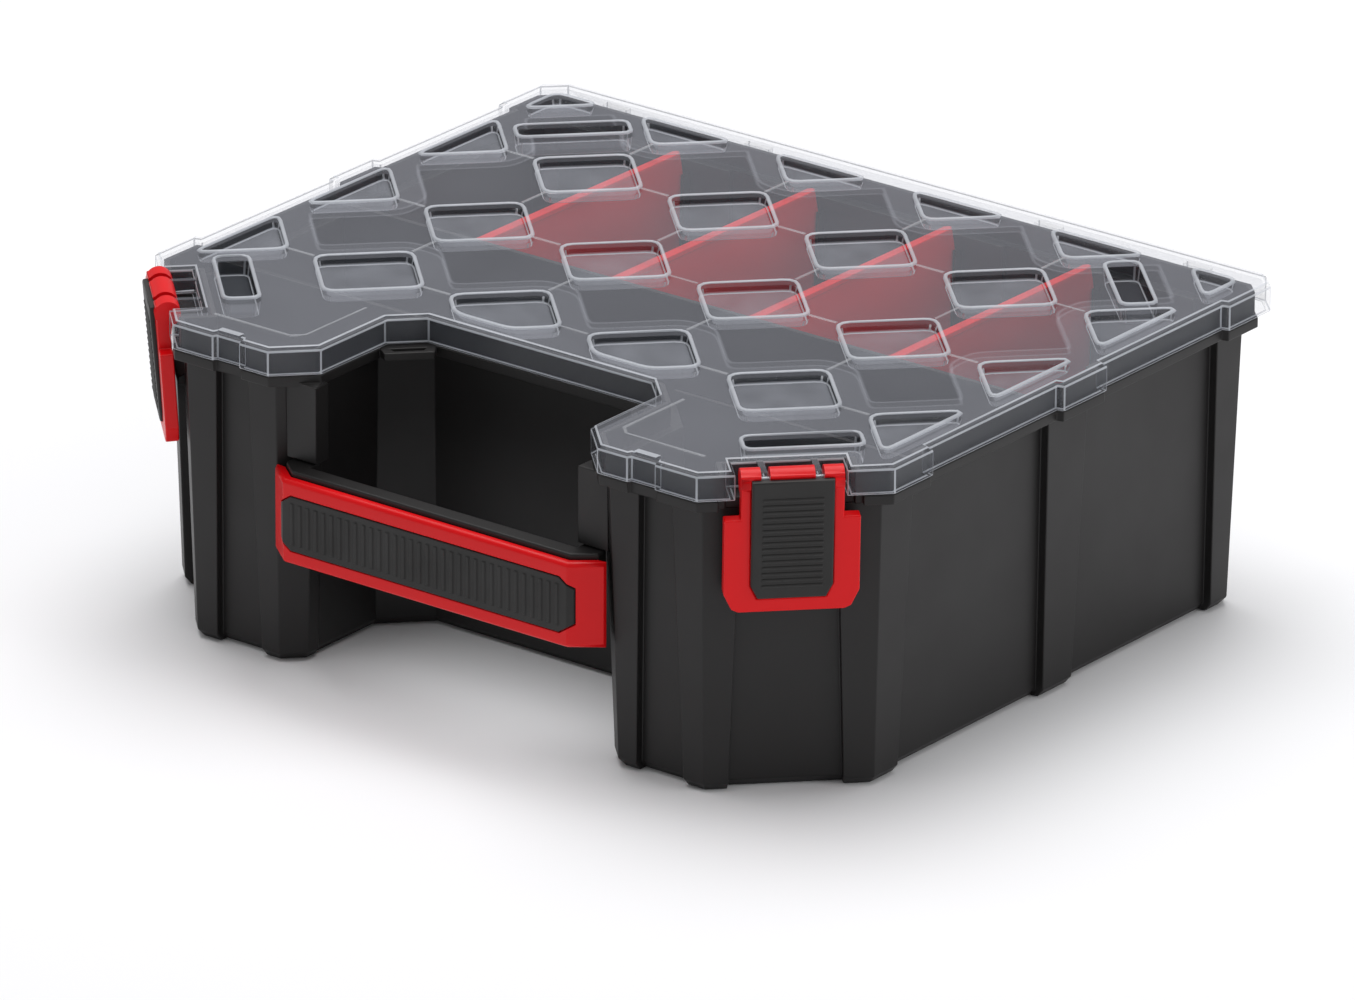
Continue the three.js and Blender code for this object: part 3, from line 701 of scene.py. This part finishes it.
@dataclass
class Lid:
    """The clear lid with its recessed pads and their raised rims.

    Attributes:
        edge_round: Rounding of the outline, the skirt and its corners.
        pad_depth: How far the pads' floors lie below the plate, in millimetres.
        plate: Thickness of the plate, in millimetres.
        chamfer: Width of the chamfer round the top, in millimetres.
        rib_top: Height of the fine ribs above the plate, in millimetres.
    """

    edge_round: EdgeBreak = field(default_factory=lambda: EdgeBreak(0.45, 20, 1.6))
    pad_depth: float = 3.0
    plate: float = 2.2
    chamfer: float = 1.6
    rib_top: float = 0.35

    class Slot(Enum):
        """Material slots of the lid, in order."""

        PLATE = 0
        SKIRT = 1
        PAD = 2
        # The last two slots carry painted highlights.
        RIM = 3
        RIB = 4

    def build(self) -> None:
        """Copies the lid, rounds and sorts its faces and dresses it."""
        lid = Copy("lid")
        top = self.plate_height()
        for face in lid.mesh.faces:
            face.material_index = self.slot_of(face, top).value
        strips = lid.round_edges(self.edge_round, lambda edge: self.is_outline(edge, top))
        # The rounded outline takes the rims' painted highlight.
        for face in strips:
            face.material_index = self.Slot.RIM.value
        lid.finish(
            "lid_moulding",
            "lid",
            "lid_clear",
            Finish.PLATE,
            Finish.SKIRT,
            Finish.PAD,
            Finish.RIM,
            Finish.RIB,
        )

    def plate_height(self) -> float:
        """Height of the lid's plate: where most of the level surface lies, in millimetres."""
        mesh = frame["nodes"]["lid"].data
        area: dict[float, float] = {}
        for face in mesh.polygons:
            if face.normal.z > 0.999:
                height = round(mesh.vertices[face.vertices[0]].co.z / MM, 1)
                area[height] = area.get(height, 0.0) + face.area
        return max(area, key=lambda height: area[height])

    def slot_of(self, face: bmesh.types.BMFace, top: float) -> Slot:
        """Which finish a face of the lid takes.

        Args:
            face: The face.
            top: Height of the plate, in millimetres.

        Returns:
            Its material slot.
        """
        height = face.calc_center_median().z / MM
        level = abs(face.normal.z) > LEVEL
        # Faces above the plate take painted highlights: the fainter one on low ribs and upright walls, the
        # stronger one on rims.
        if height > top + 0.05:
            low = height < top + self.rib_top + 0.1
            return self.Slot.RIB if (level and low) or abs(face.normal.z) < 0.2 else self.Slot.RIM
        if level and height > top - self.plate - 0.2:
            return self.Slot.PLATE
        if level and height > top - self.pad_depth - 2:
            return self.Slot.PAD
        return self.Slot.SKIRT

    def is_outline(self, edge: bmesh.types.BMEdge, top: float) -> bool:
        """True for an outer edge of the lid: the outline of its top, its skirt and their corners.

        Args:
            edge: The edge.
            top: Height of the plate, in millimetres.

        Returns:
            Whether it is rounded and takes the rims' painted highlight, so it shows as a pale line.
        """
        spot = middle(edge)
        ends = [corner.co.z / MM for corner in edge.verts]
        faces = [face.calc_center_median().z / MM for face in edge.link_faces]
        level = abs(ends[0] - ends[1]) < 0.05
        if level and abs(spot.z - top) < 0.1:
            # The top edge of the chamfer: one face is the plate, the other the slope below it.
            return min(faces) > top - self.chamfer and any(
                0.4 < face.normal.z < 0.9 for face in edge.link_faces
            )
        if level:
            return edge.is_convex and spot.z < top - self.chamfer + 0.1
        return edge.is_convex and max(ends) <= top - self.chamfer + 0.1


class Side(Enum):
    """The two front corners."""

    LEFT = "left"
    RIGHT = "right"


@dataclass
class Latch:
    """One pivoting latch: its red frame, its soft pad and its pin.

    Lengths are in millimetres. The pad is drawn about the pivot: X along the pin, Y outwards, Z up.

    Attributes:
        side: Which corner it is on.
        frame_round: Rounding of the frame.
        tilt: How far the frame leans in at its foot, in degrees.
        pad_half: Half the pad's width.
        pad_top: The pad's upper end above the pivot.
        pad_foot: Its lower end.
        pad_seat: Its back face, outwards from the pivot.
        pad_face: Its front face at the foot and at the top.
        pad_cut: Width and height of its lower corners.
        ribs: Number of ribs.
        rib_half: Half the length of a rib.
        rib_size: Width and height of a rib.
        rib_foot: The lowest rib above the pad's lower end.
        rib_run: Height that the ribs fill.
        rib_sink: How far a rib's middle lies behind the pad's face.
        rib_round: Rounding of a rib, as a share of its width.
        pad_round: Rounding of the pad's front.
    """

    side: Side
    frame_round: EdgeBreak = field(default_factory=lambda: EdgeBreak(0.55, 25, 1.5, 3))
    tilt: float = 3.4
    pad_half: float = 15.2
    pad_top: float = 1.9
    pad_foot: float = -45.6
    pad_seat: float = 4.05
    pad_face: tuple[float, float] = (5.6, 6.6)
    pad_cut: tuple[float, float] = (2.6, 5.0)
    ribs: int = 15
    rib_half: float = 11.4
    rib_size: tuple[float, float] = (1.3, 1.1)
    rib_foot: float = 4.0
    rib_run: float = 37.5
    rib_sink: float = 0.7
    rib_round: float = 0.42
    pad_round: float = 0.9

    def build(self) -> None:
        """Builds, rounds and dresses the latch's three pieces."""
        side = self.side.value
        body = f"latch_{side}"
        shell = Copy(f"latch_frame_{side}")
        shell.round_edges(self.frame_round)
        shell.finish(f"latch_shell_{side}", body, "red_plastic", Finish.RED)
        make_piece(
            self.pad(),
            f"latch_pad_{side}",
            body,
            [Finish.GRIP],
            [f"latch_grip_{side}"],
        )
        pin = Copy(f"latch_pin_{side}")
        pin.round_edges(EdgeBreak(0.25, 40, 0.1))
        pin.finish(f"latch_wire_{side}", body, "pin_steel", Finish.PIN)

    def place(self) -> Matrix:
        """Where the latch's own axes lie in the frame, from its joint."""
        joint = next(j for j in frame["joints"] if j["child"] == f"latch_{self.side.value}")
        pivot = Vector(joint["pos_m"])
        turn = math.radians(-135 if self.side is Side.RIGHT else 135)
        return (
            Matrix.Translation(pivot)
            @ Matrix.Rotation(turn, 4, "Z")
            @ Matrix.Rotation(math.radians(-self.tilt), 4, "X")
            @ Matrix.Scale(MM, 4)
        )

    def face_at(self, height: float) -> float:
        """How far out the pad's face is at a height."""
        share = (height - self.pad_foot) / (self.pad_top - self.pad_foot)
        return self.pad_face[0] + share * (self.pad_face[1] - self.pad_face[0])

    def pad(self) -> bmesh.types.BMesh:
        """Shapes the soft pad: a thick leaf with a rounded edge and round-ended ribs."""
        half, top, foot = self.pad_half, self.pad_top, self.pad_foot
        cut_x, cut_z = self.pad_cut
        leaf = bmesh.new()
        outline = [
            (-half, top),
            (-half, foot + cut_z),
            (-half + cut_x, foot),
            (half - cut_x, foot),
            (half, foot + cut_z),
            (half, top),
        ]
        back = leaf.faces.new([leaf.verts.new((x, self.pad_seat, z)) for x, z in outline])
        made = bmesh.ops.extrude_face_region(leaf, geom=[back])
        front = [item for item in made["geom"] if isinstance(item, bmesh.types.BMVert)]
        for vert in front:
            vert.co.y = self.face_at(vert.co.z)
        bmesh.ops.recalc_face_normals(leaf, faces=leaf.faces)
        rim = [e for e in leaf.edges if all(v in front for v in e.verts)]
        bmesh.ops.bevel(
            leaf,
            geom=rim,
            offset=self.pad_round,
            offset_type="OFFSET",
            segments=4,
            profile=0.5,
            affect="EDGES",
            material=-1,
        )
        for number in range(self.ribs):
            self.add_rib(leaf, foot + self.rib_foot + (number + 0.5) * self.rib_run / self.ribs)
        leaf.transform(self.place())
        return leaf

    def add_rib(self, leaf: bmesh.types.BMesh, height: float) -> None:
        """Adds one round-ended rib to the pad's face.

        Args:
            leaf: The pad.
            height: The rib's middle, above the pivot.
        """
        wide, high = self.rib_size
        bar = bmesh.ops.create_cube(leaf, size=1.0)["verts"]
        bmesh.ops.scale(leaf, vec=(2 * self.rib_half, 2 * high, wide), verts=bar)
        bmesh.ops.translate(leaf, vec=(0, self.face_at(height) - self.rib_sink, height), verts=bar)
        edges = {edge for vert in bar for edge in vert.link_edges}
        bmesh.ops.bevel(
            leaf,
            geom=list(edges),
            offset=wide * self.rib_round,
            offset_type="OFFSET",
            segments=3,
            profile=0.5,
            affect="EDGES",
            material=-1,
        )


@dataclass
class Handle:
    """The carrying handle: a black bar, a red shell and a ribbed soft insert.

    Attributes:
        front_round: Rounding of the red shell's front, along its top, its foot and its bends.
        shell_round: Rounding of its other edges.
        bar_round: Rounding of the bar behind it.
        grip_round: Rounding of the insert and its ribs.
    """

    front_round: EdgeBreak = field(default_factory=lambda: EdgeBreak(2.0, 20, 6.0, 5))
    shell_round: EdgeBreak = field(default_factory=lambda: EdgeBreak(0.4, 35, 2.0, 2))
    bar_round: EdgeBreak = field(default_factory=lambda: EdgeBreak(0.8, 25, 2.0, 3))
    grip_round: EdgeBreak = field(default_factory=lambda: EdgeBreak(0.3, 25, 0.8))

    def is_front(self, edge: bmesh.types.BMEdge, low: float, high: float) -> bool:
        """True for an edge of the shell's front face.

        Args:
            edge: The edge.
            low: Height of the shell's foot, in millimetres.
            high: Height of its top, in millimetres.

        Returns:
            Whether it is at the top or the foot, or is an outward bend.
        """
        faces = edge.link_faces
        if all(face.normal.y < -0.4 for face in faces):
            return edge.is_convex and edge.calc_length() > (high - low) * MM * 0.9
        height = middle(edge).z
        return min(abs(height - low), abs(height - high)) < 0.1 and any(
            face.normal.y < -0.4 for face in faces
        )

    def build(self) -> None:
        """Copies, rounds and dresses the handle's three pieces."""
        shell = Copy("handle_shell")
        low, high = (corner.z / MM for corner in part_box("handle_shell"))
        shell.round_edges(self.front_round, lambda edge: self.is_front(edge, low, high))
        shell.round_edges(self.shell_round)
        shell.finish("handle_cover", "case", "red_plastic", Finish.RED)
        bar = Copy("handle_bar")
        bar.round_edges(self.bar_round)
        bar.finish("handle_beam", "case", "case_plastic", Finish.CASE)
        grip = Copy("handle_grip")
        grip.round_edges(self.grip_round)
        grip.finish("handle_insert", "case", "grip_rubber", Finish.GRIP)


@dataclass
class Dividers:
    """The red lift-out dividers of the rear bays.

    Attributes:
        count: How many there are.
        edge: Rounding of their edges.
    """

    count: int = 4
    edge: EdgeBreak = field(default_factory=lambda: EdgeBreak(0.35, 30, 1.2))

    def build(self) -> None:
        """Copies, rounds and dresses each divider."""
        for number in range(1, self.count + 1):
            plate = Copy(f"divider_{number}")
            plate.round_edges(self.edge)
            plate.finish(f"divider_plate_{number}", "case", "red_plastic", Finish.RED)


@dataclass
class HingePins:
    """The wire pins of the lid's hinges.

    Attributes:
        count: How many there are.
    """

    count: int = 4

    def build(self) -> None:
        """Copies, rounds and dresses each pin."""
        for number in range(1, self.count + 1):
            pin = Copy(f"hinge_pin_{number}")
            pin.round_edges(EdgeBreak(0.2, 40, 0.1))
            pin.finish(f"hinge_wire_{number}", "case", "pin_steel", Finish.PIN)


# ---------------------------------------------------------------- studio
@dataclass
class SoftLight:
    """A square softbox aimed at the case.

    Attributes:
        name: The light's name.
        at: Its place, in metres.
        size: Its side, in metres.
        power: Its power, in watts.
        colour: Its colour.
    """

    name: str
    at: tuple[float, float, float]
    size: float
    power: float
    colour: str = "#FFFFFF"

    def build(self) -> None:
        """Hangs the softbox and turns it to the case."""
        lamp = bpy.data.lights.new(self.name, "AREA")
        lamp.shape = "SQUARE"
        lamp.size = self.size
        lamp.energy = self.power
        lamp.color = linear(self.colour)[:3]
        holder = bpy.data.objects.new(self.name, lamp)
        holder.location = self.at
        aim = Vector((0, 0, 0.06)) - Vector(self.at)
        holder.rotation_euler = aim.to_track_quat("-Z", "Y").to_euler()
        bpy.context.scene.collection.objects.link(holder)


@dataclass
class Studio:
    """The camera, a pale floor and soft light from above.

    Attributes:
        azimuth: Camera's turn about the case, in degrees.
        elevation: Camera's height above the horizon, in degrees.
        roll: Camera's roll, in degrees.
        distance: Camera to its target, in metres.
        lens: Focal length, in millimetres.
        target: What the camera looks at, in metres.
        floor_half: Half the side of the floor, in metres.
        air: Strength of the white surroundings.
    """

    azimuth: float = 37.7
    elevation: float = 21.96
    roll: float = 0.25
    distance: float = 5.2563
    lens: float = 367.94
    target: tuple[float, float, float] = (0.0048, -0.0024, 0.04496)
    floor_half: float = 6.0
    air: float = 0.35
    lights: list[SoftLight] = field(
        default_factory=lambda: [
            SoftLight("softbox_above", (-0.4, 0.3, 2.2), 2.0, 46),
            SoftLight("softbox_right", (2.4, 0.6, 0.9), 1.2, 14),
        ]
    )

    def build(self) -> None:
        """Sets the camera, the floor, the surroundings and the lights."""
        self.set_camera()
        self.lay_floor()
        self.set_air()
        for light in self.lights:
            light.build()
        LOG.info("studio: camera, floor and %d softboxes", len(self.lights))

    def set_camera(self) -> None:
        """Places the camera round its target."""
        turn, rise = math.radians(self.azimuth), math.radians(self.elevation)
        back = Vector(
            (math.sin(turn) * math.cos(rise), -math.cos(turn) * math.cos(rise), math.sin(rise))
        )
        eye = bpy.data.cameras.new("camera")
        eye.lens = self.lens
        eye.sensor_width = 36.0
        eye.clip_start, eye.clip_end = 0.1, 60.0
        holder = bpy.data.objects.new("camera", eye)
        holder.location = Vector(self.target) + back * self.distance
        look = (-back).to_track_quat("-Z", "Y").to_matrix()
        spin = Matrix.Rotation(math.radians(self.roll), 3, back)
        holder.rotation_euler = (spin @ look).to_euler()
        bpy.context.scene.collection.objects.link(holder)
        bpy.context.scene.camera = holder

    def lay_floor(self) -> None:
        """Lays a white floor under the case."""
        sheet = bmesh.new()
        bmesh.ops.create_grid(sheet, x_segments=4, y_segments=4, size=self.floor_half)
        data = bpy.data.meshes.new("floor")
        sheet.to_mesh(data)
        sheet.free()
        floor = bpy.data.objects.new("floor", data)
        floor.location.z = -0.0002
        bpy.context.scene.collection.objects.link(floor)
        paper = bpy.data.materials.new("studio_paper")
        paper.use_nodes = True
        surface = paper.node_tree.nodes["Principled BSDF"]
        surface.inputs["Base Color"].default_value = linear("#FAFAFC")
        surface.inputs["Roughness"].default_value = 0.9
        surface.inputs["Specular IOR Level"].default_value = 0.0
        data.materials.append(paper)

    def set_air(self) -> None:
        """Fills the surroundings with even white light."""
        world = bpy.data.worlds.new("studio_air")
        world.use_nodes = True
        backing = world.node_tree.nodes["Background"]
        backing.inputs["Color"].default_value = linear("#FFFFFF")
        backing.inputs["Strength"].default_value = self.air
        scene = bpy.context.scene
        scene.world = world
        scene.view_settings.view_transform = "Standard"


def main() -> None:
    """Builds the organizer piece by piece, then the studio."""
    logging.basicConfig(level=logging.INFO, format="%(name)s: %(message)s")
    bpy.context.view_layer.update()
    sub_assemblies = [
        Case(),
        Lid(),
        Latch(Side.LEFT),
        Latch(Side.RIGHT),
        Handle(),
        Dividers(),
        HingePins(),
        Studio(),
    ]
    for part in sub_assemblies:
        part.build()


if __name__ == "__main__":
    main()
